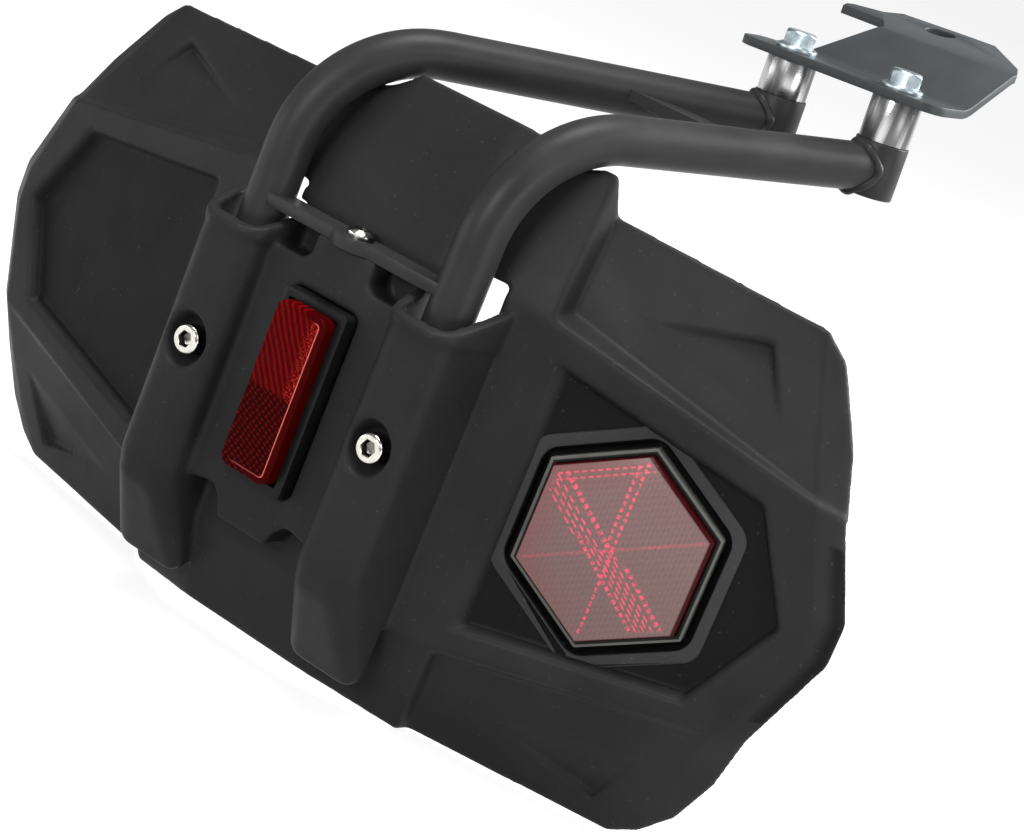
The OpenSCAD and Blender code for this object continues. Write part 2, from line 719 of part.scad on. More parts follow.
// Bent plate that carries the bracket: a lower flange, a sloping web and an upper flange
module mount_plate() {
    last = len(plate_path) - 1;
    color([0.3, 0.31, 0.33])
        placed()
            bracket_end()
                difference() {
                    intersection() {
                        translate([-20, spacer_up, 0])
                            rotate([0, 90, 0])
                                linear_extrude(height = 90)
                                    polygon(concat([for (p = plate_path) [p[0], p[1]]],
                                        [for (i = [0:last]) let (p = plate_path[last - i])
                                            [p[0] - plate_t * sin(p[2]), p[1] + plate_t * cos(p[2])]]));
                        rotate([-90, 0, 0])
                            linear_extrude(height = 80)
                                plate_plan();
                    }
                    for (x = [0, right_end.x])
                        translate([x, spacer_up - 10, x > 0 ? right_end.z : 0])
                            rotate([-90, 0, 0])
                                cylinder(d = boss_bore, h = 20, $fn = 32);
                    // Hole for the motorcycle's own screw
                    translate(hole_pt)
                        rotate([top_deg, 0, 0])
                            rotate([-90, 0, 0])
                                translate([0, 0, -8])
                                    cylinder(d = hole_d, h = 16, $fn = 40);
                }
}

// Flange bolt through the plate and spacer into the boss
module flange_bolt(s) {
    color([0.72, 0.73, 0.74])
        placed()
            bracket_end(s)
                translate([0, plate_up - (s > 0 ? right_end.y : 0), 0])
                    rotate([-90, 0, 0])
                        union() {
                            cylinder(d = 14.2, h = 1.4, $fn = 48);
                            translate([0, 0, 1.4])
                                cylinder(d1 = 13.4, d2 = 11.6, h = 0.6, $fn = 48);
                            difference() {
                                translate([0, 0, 1])
                                    cylinder(d = 10 / cos(30), h = 5.6, $fn = 6);
                                // Chamfer of the head
                                difference() {
                                    translate([0, 0, 5])
                                        cylinder(d = 20, h = 4, $fn = 48);
                                    translate([0, 0, 4.9])
                                        cylinder(d1 = 12.9, d2 = 9.1, h = 1.8, $fn = 48);
                                }
                            }
                            translate([0, 0, -plate_t - spacer_l(s) - 12])
                                cylinder(d = thread_d, h = plate_t + spacer_l(s) + 13, $fn = 32);
                        }
}

module flange_bolt_left() {
    flange_bolt(-1);
}

module flange_bolt_right() {
    flange_bolt(1);
}

// Socket head screw in a rib's pocket
module rib_screw(s) {
    color([0.8, 0.8, 0.8])
        placed()
            translate([s * rib_x, 0, -pocket_floor])
                difference() {
                    union() {
                        cylinder(d = cap_d, h = cap_h - 0.7, $fn = 48);
                        translate([0, 0, cap_h - 0.7])
                            cylinder(d1 = cap_d, d2 = cap_d - 1.4, h = 0.7, $fn = 48);
                        translate([0, 0, -12])
                            cylinder(d = thread_d, h = 12 + eps, $fn = 32);
                    }
                    translate([0, 0, cap_h - 3.2])
                        cylinder(d = 5 / cos(30), h = 4, $fn = 6);
                }
}

module rib_screw_left() {
    rib_screw(-1);
}

module rib_screw_right() {
    rib_screw(1);
}

// Flanged rivet nut set in the tube under a rib screw
module rivet_nut(s) {
    color([0.62, 0.62, 0.6])
        placed()
            translate([s * rib_x, 0, -pocket_floor - 1.5])
                difference() {
                    union() {
                        translate([0, 0, -(tube_z - tube_od / 2 - pocket_floor - 1.5)])
                            cylinder(d = 12, h = tube_z - tube_od / 2 - pocket_floor - 1.5, $fn = 32);
                        translate([0, 0, -11])
                            cylinder(d = 9, h = 10.5, $fn = 32);
                    }
                    translate([0, 0, -12])
                        cylinder(d = thread_d, h = 13, $fn = 32);
                }
}

module rivet_nut_left() {
    rivet_nut(-1);
}

module rivet_nut_right() {
    rivet_nut(1);
}

// Button head screw down through the cross plate into the tongue
module tongue_screw() {
    color([0.8, 0.8, 0.8])
        placed()
            translate([0, cross_low + cross_t, -tongue_screw_z])
                rotate([-90, 0, 0])
                    difference() {
                        union() {
                            cylinder(d = 9.5, h = 1.4, $fn = 48);
                            translate([0, 0, 1.4])
                                cylinder(d1 = 9.5, d2 = 6.4, h = 1.4, $fn = 48);
                            translate([0, 0, -cross_t - insert_len + 1])
                                cylinder(d = small_d, h = cross_t + insert_len, $fn = 32);
                        }
                        translate([0, 0, 0.9])
                            cylinder(d = 3 / cos(30), h = 4, $fn = 6);
                    }
}

module tongue_insert() {
    color([0.72, 0.55, 0.25])
        placed()
            translate([0, cross_low - insert_len, -tongue_screw_z])
                rotate([-90, 0, 0])
                    difference() {
                        cylinder(d = insert_d, h = insert_len, $fn = 24);
                        translate([0, 0, -1])
                            cylinder(d = small_d, h = insert_len + 2, $fn = 24);
                    }
}

module long_reflector_housing() {
    color([0.04, 0.04, 0.04])
        placed()
            difference() {
                union() {
                    hull()
                        for (sx = [-1, 1], sy = [-1, 1])
                            translate([sx * (housing_w / 2 - 2), sy * (housing_l / 2 - 2), -housing_base])
                                cylinder(r = 2, h = housing_base - 3.5, $fn = 16);
                    for (sy = [-1, 1])
                        translate([0, sy * 20, -housing_base - 8])
                            cylinder(d = 4, h = 9, $fn = 20);
                }
                translate([-long_w / 2, -long_l / 2, -housing_base + 4])
                    cube([long_w, long_l, 20]);
            }
}

// Stacked seat of the long lens inside its housing
module long_reflector_lens() {
    color([0.62, 0.02, 0.03])
        placed()
            translate([-long_w / 2, -long_l / 2, -housing_base + 4])
                cube([long_w, long_l, housing_base - 4 + long_top]);
}

module long_reflector_nuts() {
    color([0.7, 0.7, 0.7])
        placed()
            for (sy = [-1, 1])
                translate([0, sy * 20, -housing_base - 2.5 - 3])
                    difference() {
                        cylinder(d = 7 / cos(30), h = 3, $fn = 6);
                        translate([0, 0, -1])
                            cylinder(d = 4, h = 5, $fn = 20);
                    }
}

module hex_reflector_housing() {
    color([0.04, 0.04, 0.04])
        placed()
            on_wing()
                translate([0, 0, -hex_seat])
                    difference() {
                        union() {
                            rotate([0, 0, 30])
                                cylinder(r = hex_r + 2.4, h = hex_seat - 3, $fn = 6);
                            translate([0, 0, -8])
                                cylinder(d = 5, h = 9, $fn = 20);
                        }
                        translate([0, 0, 2])
                            rotate([0, 0, 30])
                                cylinder(r = hex_r, h = 20, $fn = 6);
                    }
}

module hex_reflector_lens() {
    color([0.75, 0.2, 0.22])
        placed()
            on_wing()
                translate([0, 0, -hex_seat + 2])
                    rotate([0, 0, 30])
                        cylinder(r = hex_r, h = hex_seat - 2 - 0.5, $fn = 6);
}

module hex_reflector_nut() {
    color([0.7, 0.7, 0.7])
        placed()
            on_wing()
                translate([0, 0, -hex_depth - 4])
                    difference() {
                        cylinder(d = 8 / cos(30), h = 4, $fn = 6);
                        translate([0, 0, -1])
                            cylinder(d = 5, h = 6, $fn = 20);
                    }
}

fender_body();
tube_left();
tube_right();
boss_left();
boss_right();
cross_plate();
rear_brace();
spacer_left();
spacer_right();
mount_plate();
flange_bolt_left();
flange_bolt_right();
rib_screw_left();
rib_screw_right();
rivet_nut_left();
rivet_nut_right();
tongue_screw();
tongue_insert();
long_reflector_housing();
long_reflector_lens();
hex_reflector_housing();
hex_reflector_lens();
hex_reflector_nut();
long_reflector_nuts();
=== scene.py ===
"""Moulded rear fender with a bent tube bracket: dressed pieces, materials and a white studio."""
import math

import bpy
from bpy.props import FloatProperty, FloatVectorProperty, IntProperty, PointerProperty
from bpy.types import Operator, Panel, PropertyGroup
from mathutils import Matrix, Vector


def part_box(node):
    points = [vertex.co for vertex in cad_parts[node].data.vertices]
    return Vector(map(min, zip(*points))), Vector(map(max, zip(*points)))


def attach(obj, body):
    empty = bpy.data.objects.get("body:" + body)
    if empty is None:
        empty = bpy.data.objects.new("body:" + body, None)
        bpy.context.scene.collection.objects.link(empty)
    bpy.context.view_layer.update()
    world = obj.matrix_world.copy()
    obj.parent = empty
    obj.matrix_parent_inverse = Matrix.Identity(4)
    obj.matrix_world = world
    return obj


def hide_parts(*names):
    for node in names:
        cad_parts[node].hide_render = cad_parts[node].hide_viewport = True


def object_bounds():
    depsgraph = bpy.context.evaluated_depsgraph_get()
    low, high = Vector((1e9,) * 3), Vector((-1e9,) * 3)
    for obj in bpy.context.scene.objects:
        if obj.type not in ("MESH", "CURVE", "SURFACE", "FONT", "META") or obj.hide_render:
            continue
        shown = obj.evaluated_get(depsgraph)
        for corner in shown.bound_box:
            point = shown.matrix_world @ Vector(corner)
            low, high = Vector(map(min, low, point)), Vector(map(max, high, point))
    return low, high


bl_info = {
    "name": "Rear Fender Dresser",
    "version": (1, 0, 0),
    "blender": (4, 5, 0),
    "location": "View3D > Sidebar > Fender",
    "description": "Moulded skin, weld beads, reflector lenses and finishes for a rear fender",
    "category": "Object",
}

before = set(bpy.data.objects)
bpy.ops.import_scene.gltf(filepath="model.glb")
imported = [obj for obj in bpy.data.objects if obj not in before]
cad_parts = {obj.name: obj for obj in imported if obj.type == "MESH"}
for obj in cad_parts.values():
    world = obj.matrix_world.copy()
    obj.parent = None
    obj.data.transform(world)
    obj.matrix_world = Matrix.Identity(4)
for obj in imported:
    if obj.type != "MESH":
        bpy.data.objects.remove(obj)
CAD_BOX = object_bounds()

MM = 0.001
TO_MM = 1000.0
SAME_POINT = 0.000004  # corners of the CAD's loose triangles that are closer than this are one
NEARLY_FLAT = math.radians(1.0)
SMOOTH_ANGLE = math.radians(35.0)
HEX_FLAT = math.cos(math.pi / 6)  # a six-sided outline's reach to its sides over that to its corners

# Shape of the fender and the bracket, in the fender's own millimetres
FOLD = 0.235  # how far a wing falls back for each millimetre across
WING_DEPTH = 13.9  # where the wings' faces would meet, behind the rib screws
RECESS_DEPTH = 4.5  # the five-sided recess floors, under the wings' faces
RECESS_SIDE = 71.0  # the recesses' inner side, from the middle
RECESS_TOP, RECESS_TOP_FALL = 45.0, 0.153  # upper edge, and how fast it falls outwards
RECESS_FOOT, RECESS_FOOT_RISE = 48.0, 0.172  # lower edge, downwards, and how fast it rises outwards
TUBE_CORNER = (39.5, 106.7, -16.0)  # where a tube's two straight runs would meet
TUBE_RADIUS = 8.0
BOSS_RADIUS = 9.1
BOSS_TILT = math.radians(3.0)  # the bosses lean to the left and nod to the front by this much

HOUSING_EDGE = 29.9  # the six-sided housing's reach to its sides, where its rim turns grey

# The stepped ledge round the mouth of the six-sided pocket, in millimetres
LEDGE_OUT = 42.6  # reach to its outer corners
LEDGE_IN = 38.0  # reach to its inner corners
LEDGE_HEIGHT = 1.5
LEDGE_SUNK = 0.5  # how far its rear face lies under the recess floor
LEDGE_CORNER = 4.0
LEDGE_ROUND = 0.45
LEDGE_PAINTED_LIGHT = 1.9  # painted light: how much brighter than the skin it is made

# Tubes are rebuilt from small cells, relaxed and thinned to this many triangles
TUBE_VOXEL = 0.75 * MM
TUBE_RELAX = 4
TUBE_FACES = 60000

# A weld's line is found by stepping out of the boss along the tube's side
SADDLE_POINTS = 48
SADDLE_REACH = 20.0
SADDLE_STEP = 0.1

HOUSING_DEEP = (0.006, 0.006, 0.006)
HOUSING_LIFTED = (0.010, 0.010, 0.010)
RIM_GREY = (0.125, 0.127, 0.118)
LONG_GLINT = (0.80, 0.055, 0.035)
LONG_EDGE_HIGHLIGHT = (0.62, 0.13, 0.11)
HEX_SPARK = (1.0, 0.10, 0.18)
HEX_SIDE_SHADE = (0.035, 0.0012, 0.002)

# Camera fitted to the photograph: its place in the fender's millimetres, its axes in the row frame and its
# focal length in pixels
CAMERA_PLACE = (415.1, 202.2, 613.7)
CAMERA_RIGHT = (0.7698086, 0.52110597, 0.36856925)
CAMERA_UP = (-0.43837325, 0.01194631, 0.89871362)
FOCAL = 2440.88
PHOTO_WIDTH = 1024.0
SENSOR = 36.0

FLOOR_SIZE = 24.0
FLOOR_GAP = 0.0006
WALL_HEIGHT = 4.0
FLOOR_GREY = (0.26, 0.26, 0.26)
FLOOR_GLOW = 0.86
WHITE = (1.0, 1.0, 1.0)
WORLD_STRENGTH = 0.25

# Name, place from the part's middle and size in metres, power in watts
LAMPS = (
    ("top_softbox", (0.0, -0.3, 1.7), (1.0, 0.8), 34.0),
    ("front_softbox", (0.0, -1.5, 0.45), (0.6, 0.4), 11.0),
    ("right_softbox", (1.5, -0.4, 0.05), (0.5, 0.3), 5.0),
    ("high_right_softbox", (1.3, -0.6, 0.9), (0.9, 0.6), 6.0),
    ("left_softbox", (-1.3, -1.0, -0.03), (1.0, 0.2), 3.5),
    ("rim_softbox", (0.9, 1.0, 0.9), (0.9, 0.9), 60.0),
)


def fender_origin():
    """Middle of the fender between the two rib screws, at the level of their heads, in the row frame."""
    lo_l, hi_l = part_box("rib_screw_left")
    lo_r, hi_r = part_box("rib_screw_right")
    middle = (Vector(lo_l) + Vector(hi_l) + Vector(lo_r) + Vector(hi_r)) / 4
    return Vector((middle.x, min(lo_l[1], lo_r[1]) + 0.5 * MM, middle.z))


ORIGIN = fender_origin()


def at(x, y, z):
    """Row-frame point from the fender's own millimetres: x across, y up, z out of its face."""
    return ORIGIN + Vector((x, -z, y)) * MM


def own(point):
    """The fender's own millimetres of a row-frame point."""
    step = point - ORIGIN
    return Vector((step.x, step.z, -step.y)) * TO_MM


def middle_of(node):
    """Middle of a node's box, in the row frame."""
    low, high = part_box(node)
    return (Vector(low) + Vector(high)) / 2


class FenderSizes(PropertyGroup):
    """Sizes that change how fine and how soft the dressed pieces are"""

    voxel: FloatProperty(
        name="Skin Detail", description="Size of the cells that the moulded skin is rebuilt from",
        default=0.8 * MM, min=0.6 * MM, max=3 * MM, subtype="DISTANCE", unit="LENGTH", precision=5)
    softness: IntProperty(
        name="Edge Softness", description="How often the skin is relaxed, which rounds its edges",
        default=12, min=0, max=40)
    skin_faces: IntProperty(
        name="Skin Triangles", description="Most triangles that the finished skin keeps",
        default=190000, min=20000, max=195000)
    small_round: FloatProperty(
        name="Edge Round", description="Rounding of the hardware's edges",
        default=0.35 * MM, min=0.0, max=1 * MM, subtype="DISTANCE", unit="LENGTH", precision=5)
    plate_round: FloatProperty(
        name="Plate Round", description="Rounding of the mount plate's cut edges",
        default=0.7 * MM, min=0.0, max=1.4 * MM, subtype="DISTANCE", unit="LENGTH", precision=5)
    lens_round: FloatProperty(
        name="Lens Round", description="Rounding of the reflector lenses' edges",
        default=0.8 * MM, min=0.1 * MM, max=2 * MM, subtype="DISTANCE", unit="LENGTH", precision=5)
    lens_corner: FloatProperty(
        name="Lens Corner", description="Corner radius of the long reflector's lens",
        default=3.8 * MM, min=0.5 * MM, max=5 * MM, subtype="DISTANCE", unit="LENGTH", precision=5)
    weld: FloatProperty(
        name="Weld Bead", description="Radius of the weld beads",
        default=1.5 * MM, min=0.5 * MM, max=3 * MM, subtype="DISTANCE", unit="LENGTH", precision=5)


class FenderColours(PropertyGroup):
    """Colours of the moulding, the coats and the lenses"""

    skin: FloatVectorProperty(
        name="Skin", description="Colour of the moulded skin", subtype="COLOR", size=3,
        min=0.0, max=1.0, default=(0.0200, 0.0200, 0.0208))
    frame_paint: FloatVectorProperty(
        name="Bracket Coat", description="Colour of the bracket's powder coat", subtype="COLOR", size=3,
        min=0.0, max=1.0, default=(0.0260, 0.0260, 0.0270))
    plate_paint: FloatVectorProperty(
        name="Plate Coat", description="Colour of the mount plate's coat", subtype="COLOR", size=3,
        min=0.0, max=1.0, default=(0.030, 0.034, 0.036))
    lens_red: FloatVectorProperty(
        name="Long Lens", description="Colour of the long reflector's lens", subtype="COLOR", size=3,
        min=0.0, max=1.0, default=(0.125, 0.0016, 0.002))
    lens_pink: FloatVectorProperty(
        name="Six-Sided Lens", description="Colour of the six-sided lens under flash light",
        subtype="COLOR", size=3, min=0.0, max=1.0, default=(0.185, 0.118, 0.112))


class Num:
    """A number in a material's node tree. Arithmetic on it adds Math nodes."""

    def __init__(self, look, socket):
        self.look = look
        self.socket = socket

    def __add__(self, other):
        return self.look.math("ADD", self, other)

    def __radd__(self, other):
        return self.look.math("ADD", other, self)

    def __sub__(self, other):
        return self.look.math("SUBTRACT", self, other)

    def __rsub__(self, other):
        return self.look.math("SUBTRACT", other, self)

    def __mul__(self, other):
        return self.look.math("MULTIPLY", self, other)

    def __rmul__(self, other):
        return self.look.math("MULTIPLY", other, self)

    def __abs__(self):
        return self.look.math("ABSOLUTE", self)


class Look:
    """A material under construction on a Principled BSDF."""

    def __init__(self, name):
        self.material = bpy.data.materials.new(name)
        self.material.use_nodes = True
        self.tree = self.material.node_tree
        self.shader = self.tree.nodes["Principled BSDF"]

    def node(self, kind, settings=None, values=None, out=0):
        """Adds a node, sets its settings, then the values or links of its sockets.

        Gives back the output that out names, or a list of them where out is a tuple.
        """
        added = self.tree.nodes.new(kind)
        for key, value in (settings or {}).items():
            setattr(added, key, value)
        for key, value in (values or {}).items():
            self.set(added.inputs[key], value)
        if isinstance(out, tuple):
            return [Num(self, added.outputs[key]) for key in out]
        return Num(self, added.outputs[out])

    def set(self, socket, value):
        if isinstance(value, Num):
            self.tree.links.new(value.socket, socket)
        else:
            socket.default_value = value

    def shade(self, **sockets):
        """Sets the shader's own sockets, with _ for a blank in their names."""
        for key, value in sockets.items():
            if isinstance(value, tuple):
                value = (*value, 1.0)
            self.set(self.shader.inputs[key.replace("_", " ")], value)

    def math(self, operation, *values):
        return self.node("ShaderNodeMath", {"operation": operation}, dict(enumerate(values)))

    def largest(self, first, *others):
        for other in others:
            first = self.math("MAXIMUM", first, other)
        return first

    def place(self):
        """The point on the surface, in the object's own coordinates."""
        return self.node("ShaderNodeTexCoord", out="Object")

    def axes(self):
        return self.node("ShaderNodeSeparateXYZ", None, {0: self.place()}, out=(0, 1, 2))

    def vector(self, x, y, z):
        return self.node("ShaderNodeCombineXYZ", None, {0: x, 1: y, 2: z})

    def noise(self, scale, detail=2.0, rough=0.5, place=None):
        return self.node("ShaderNodeTexNoise", {"noise_dimensions": "3D"},
                         {"Vector": place or self.place(), "Scale": scale, "Detail": detail,
                          "Roughness": rough})

    def cells(self, scale):
        return self.node("ShaderNodeTexVoronoi", {"feature": "F1"}, {"Vector": self.place(), "Scale": scale})

    def between(self, value, low, high, to_low=0.0, to_high=1.0):
        """Turns low to high into to_low to to_high, and stays there past both ends."""
        return self.node("ShaderNodeMapRange", {"clamp": True},
                         {"Value": value, "From Min": low, "From Max": high,
                          "To Min": to_low, "To Max": to_high})

    def spread(self, noise, to_low=0.0, to_high=1.0):
        """Stretches the range that a noise mostly keeps to."""
        return self.between(noise, 0.3, 0.7, to_low, to_high)

    def mix(self, mask, a, b):
        """Colour a where mask is 0 and b where it is 1."""
        a, b = (value if isinstance(value, Num) else (*value, 1.0) for value in (a, b))
        return self.node("ShaderNodeMix", {"data_type": "RGBA"}, {0: mask, 6: a, 7: b}, out=2)

    def lens_axes(self, node):
        """Millimetres across and up a node that lies in the right wing's plane, from its middle."""
        middle = middle_of(node)
        x, y, z = self.axes()
        slope = math.atan(FOLD)
        across = ((x - middle.x) * math.cos(slope) + (y - middle.y) * math.sin(slope)) * TO_MM
        return across, (z - middle.z) * TO_MM

    def hexagon(self, u, v):
        """Distance from the middle of a six-sided outline with corners at the top, square to its sides."""
        return self.largest(abs(v * HEX_FLAT - u * 0.5), abs(v * HEX_FLAT + u * 0.5), abs(u))

    def bump(self, height, depth, strength):
        """Grain from height, at most depth metres deep."""
        self.shade(Normal=self.node("ShaderNodeBump", None,
                                    {"Distance": depth, "Strength": strength, "Height": height}))


def tone(colour, k):
    """A colour k times as bright."""
    return tuple(min(1.0, c * k) for c in colour)


def shaded_recess_floor(m):
    """1 on the floors of the five-sided recesses, where the skin gets painted shade, 0 elsewhere."""
    x, y, z = m.axes()
    across = abs(x - ORIGIN.x) * TO_MM
    height = (z - ORIGIN.z) * TO_MM
    over_face = (ORIGIN.y - y) * TO_MM + WING_DEPTH + across * FOLD
    under_top = m.between(RECESS_TOP - (across - RECESS_SIDE) * RECESS_TOP_FALL - height, 0.0, 1.0)
    over_foot = m.between(height + RECESS_FOOT - (across - RECESS_SIDE) * RECESS_FOOT_RISE, 0.0, 1.0)
    sunk = m.between(over_face, -2.2, -4.0)
    return sunk * (under_top * over_foot) * m.between(across, RECESS_SIDE - 3.0, RECESS_SIDE)


def moulded_black(colour, recess_shade=0.85):
    """Fine-grained black moulding, with painted shade that makes the five-sided recess floors darker than
    the rest.
    """
    m = Look("moulded_black")
    clouds = m.noise(22.0, 3.0, 0.6)
    specks = m.between(m.noise(900.0, 0.0), 0.80, 0.84)
    shade = m.mix(m.between(clouds, 0.35, 0.65), tone(colour, 0.85), tone(colour, 1.15))
    # Painted shade: the recess floors are mixed towards a much darker black
    shade = m.mix(shaded_recess_floor(m) * recess_shade, shade, tone(colour, 0.10))
    m.shade(Base_Color=m.mix(specks * 0.3, shade, tone(colour, 4.0)),
            Roughness=m.spread(m.noise(60.0, 4.0, 0.6), 0.40, 0.52), Specular_IOR_Level=0.08)
    m.bump(m.cells(1500.0) + m.noise(2600.0, 1.0) * 0.6, 0.00004, 0.45)
    return m.material


def powder_coat(name, colour, rough, gloss):
    """Satin powder coat with orange peel and slightly duller patches."""
    m = Look(name)
    peel = m.noise(520.0, 1.5, 0.4)
    patch = m.noise(35.0, 3.0, 0.6)
    m.shade(Base_Color=m.mix(m.spread(patch), tone(colour, 0.85), tone(colour, 1.18)),
            Roughness=m.spread(patch, rough - 0.05, rough + 0.06), Specular_IOR_Level=gloss)
    m.bump(peel + m.noise(1900.0, 1.0) * 0.35, 0.00005, 0.35)
    return m.material


def turned_aluminium():
    """Turned sleeve with fine lines round its axis, and painted reflections as dark and bright bands along
    it, which its roughness follows.
    """
    m = Look("turned_aluminium")
    x, y, z = m.axes()
    lines = m.noise(1.0, 3.0, 0.7, m.vector(x * 30.0, y * 30.0, z * 5200.0))
    reflection_streaks = m.between(m.noise(1.0, 2.0, 0.5, m.vector(x * 210.0, y * 210.0, z * 6.0)), 0.42, 0.60)
    # Painted reflections: the bands mix a dark and a bright metal colour
    shade = m.mix(reflection_streaks, (0.11, 0.11, 0.112), (0.58, 0.58, 0.58))
    m.shade(Base_Color=m.mix(m.spread(lines) * 0.25, shade, (0.30, 0.30, 0.30)),
            Metallic=1.0, Roughness=m.between(reflection_streaks, 0.0, 1.0, 0.34, 0.2))
    m.bump(lines, 0.00002, 0.4)
    return m.material


def zinc_plate():
    """Bright zinc with a faint blue cast and a cloudy passivation."""
    m = Look("zinc_plate")
    cloud = m.noise(240.0, 4.0, 0.6)
    m.shade(Base_Color=m.mix(m.between(cloud, 0.35, 0.65), (0.30, 0.37, 0.40), (0.46, 0.52, 0.55)),
            Metallic=1.0, Roughness=m.spread(m.noise(700.0, 3.0), 0.30, 0.40))
    m.bump(m.noise(1300.0, 2.0), 0.00001, 0.3)
    return m.material


def polished_steel(node):
    """Polished stainless screw head with hairline marks, and painted shade that makes it darker down in its
    socket.
    """
    m = Look("polished_steel")
    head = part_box(node)[0][1]
    x, y, z = m.axes()
    marks = m.noise(900.0, 3.0, 0.6)
    # Painted shade: darker from half a millimetre in from the head's top
    down = m.between((y - head) * TO_MM, 0.5, 1.3)
    bright = m.mix(m.spread(marks), (0.56, 0.55, 0.50), (0.68, 0.67, 0.61))
    m.shade(Base_Color=m.mix(down, bright, (0.17, 0.165, 0.15)),
            Metallic=1.0, Roughness=m.spread(m.noise(400.0, 3.0), 0.14, 0.24))
    m.bump(marks, 0.000004, 0.3)
    return m.material


def knurled_brass():
    """Plain brass of the threaded insert, with dull patches."""
    m = Look("knurled_brass")
    patch = m.noise(600.0, 3.0)
    m.shade(Base_Color=m.mix(m.spread(patch), (0.52, 0.36, 0.13), (0.74, 0.55, 0.24)),
            Metallic=1.0, Roughness=m.spread(patch, 0.28, 0.42))
    m.bump(patch, 0.00002, 0.3)
    return m.material


def housing_plastic(name, grey_rim=False):
    """Smooth black housing plastic, glossier than the skin. The six-sided one has a patchy grey outer rim.
    """
    m = Look(name)
    cloud = m.noise(90.0, 2.0)
    shade = m.mix(m.spread(cloud), HOUSING_DEEP, HOUSING_LIFTED)
    if grey_rim:
        reach = m.hexagon(*m.lens_axes("hex_reflector_housing"))
        rim = m.between(reach, HOUSING_EDGE - 0.95, HOUSING_EDGE - 0.75)
        shade = m.mix(rim * m.between(cloud, 0.2, 0.45, 0.7, 1.0), shade, RIM_GREY)
    m.shade(Base_Color=shade, Roughness=m.spread(m.noise(300.0, 3.0), 0.26, 0.36), Specular_IOR_Level=0.12)
    m.bump(m.noise(1500.0, 1.0), 0.00002, 0.25)
    return m.material


def long_prisms(colour):
    """Long lens: slanting wavy ribs in the upper half, small domes in the lower, glints down the right."""
    m = Look("long_prisms")
    low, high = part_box("long_reflector_lens")
    x, y, z = m.axes()
    u = (x - (low[0] + high[0]) / 2) * TO_MM
    v = (z - (low[2] + high[2]) / 2) * TO_MM
    half_wide = (high[0] - low[0]) * TO_MM / 2
    half_tall = (high[2] - low[2]) * TO_MM / 2
    fine = m.noise(1.0, 5.0, 0.75, m.vector(u * 1.6, 0.0, v * 1.2))
    glow = m.between(fine, 0.36, 0.66)
    upper = m.between(v + (fine - 0.5) * 3.0, -0.6, 0.6)

    rib_step = 2.1
    wobble = m.math("SINE", v * 0.4) * 0.12 + m.math("SINE", v * 1.9) * 0.06
    slant = u * 0.803 + v * 0.596 + wobble
    ribs = m.math("SINE", slant * (math.tau / rib_step)) * 0.5 + 0.5
    domes = m.math("SINE", (u + v * 0.577) * 2.3 + wobble * 6.0) * m.math("SINE", v * 2.5 - u * 0.5)
    domes = domes * 0.5 + 0.5
    red_up = m.mix(m.between(ribs, 0.35, 0.98) * (0.35 + glow * 0.65),
                   tone(colour, 0.40), tone(colour, 1.6))
    red_low = m.mix(m.between(domes, 0.45, 0.95) * (0.3 + glow * 0.7),
                    tone(colour, 0.14), tone(colour, 1.3))
    shade = m.mix(upper, red_low, red_up)

    glint = m.between(m.noise(1.0, 3.0, 0.7, m.vector(u * 0.9 + v * 0.4, 0.0, v * 2.2)), 0.52, 0.66)
    glint = glint * m.between(u, half_wide - 7.0, half_wide - 4.0)
    glint = glint * m.between(u, half_wide - 1.6, half_wide - 2.2)
    shade = m.mix(glint * upper * 0.8, shade, LONG_GLINT)

    # Painted highlight: a fine bright line just inside the edge, on the front face only. Past is the
    # distance outside the rectangle of the corners' centres, so that the line follows the rounded corners.
    corner = sizes().lens_corner * TO_MM
    past_u = m.largest(abs(u) - (half_wide - corner), 0.0)
    past_v = m.largest(abs(v) - (half_tall - corner), 0.0)
    past = m.math("SQRT", past_u * past_u + past_v * past_v)
    line = corner - 2.4
    below = m.between(v, -20.0, -27.0) * m.between(u, 3.5 - half_wide, 6.5 - half_wide) * 0.4
    lit = m.largest(m.between(u, half_wide - 5.0, half_wide - 3.0), below)
    front = m.between(y - low[1], 1.2 * MM, 0.4 * MM)
    rim = m.between(abs(past - line), 0.26, 0.12) * front * lit
    # Painted shade: past the line, on the right half, the lens's side is darker
    side_shade = m.between(past, line + 0.1, line + 0.5) * m.between(u, 0.0, 3.0)
    shade = m.mix(rim, m.mix(side_shade, shade, tone(colour, 0.34)), LONG_EDGE_HIGHLIGHT)

    # Painted glow: the lens gives off a little light in its own colours
    m.shade(Base_Color=shade, Roughness=m.spread(fine, 0.12, 0.2), Specular_IOR_Level=0.02,
            Emission_Color=shade, Emission_Strength=0.06)
    m.bump(ribs * upper + domes * (1.0 - upper), 0.00010, 0.4)
    return m.material


